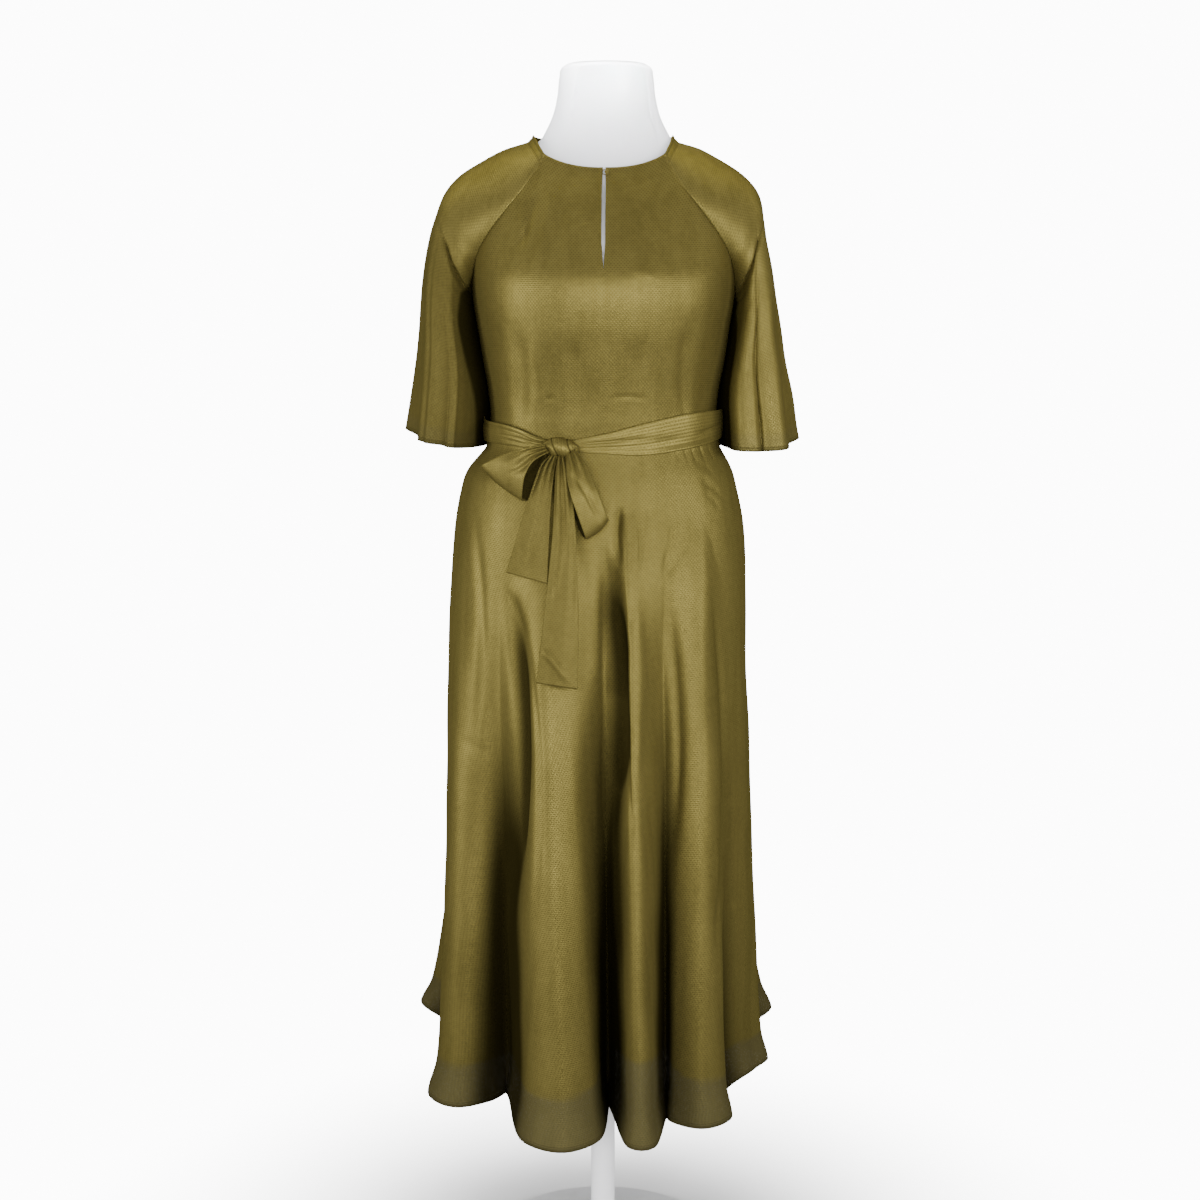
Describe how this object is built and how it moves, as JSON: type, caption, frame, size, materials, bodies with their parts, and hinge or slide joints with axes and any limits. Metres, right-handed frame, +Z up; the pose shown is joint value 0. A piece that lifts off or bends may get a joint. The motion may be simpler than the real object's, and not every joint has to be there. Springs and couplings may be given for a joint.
{
  "type": "party dress on a limbless dress form",
  "caption": "Midi party dress with raglan flutter sleeves, keyhole neck and tied waist sash, on a limbless dress form with a pole and round base.",
  "frame": {"origin": "centre of the base's underside, on the floor", "axes": "+Z up along the pole, the dress's front faces -Y, +X is to the right of a viewer in front of it"},
  "size_m": [0.5195, 0.6111, 1.56],
  "materials": {
    "dress_satin": "satin with a fine dotted weave",
    "lining_cloth": "matt",
    "form_cover": "smooth white jersey cover",
    "form_metal": "white satin paint"
  },
  "bodies": {
    "root": {"form_torso": "form_cover", "form_pole": "form_metal", "form_base": "form_metal", "bodice_front": "dress_satin", "bodice_back": "dress_satin", "sleeve_left": "dress_satin", "sleeve_right": "dress_satin", "neck_band": "dress_satin", "neck_button": "dress_satin", "neck_loop": "dress_satin", "skirt_front": "dress_satin", "skirt_back": "dress_satin", "lining": "lining_cloth", "sash_band": "dress_satin", "sash_knot": "dress_satin", "sash_loop_left": "dress_satin", "sash_loop_right": "dress_satin", "sash_tail_short": "dress_satin", "sash_tail_long": "dress_satin"}
  },
  "joints": []
}
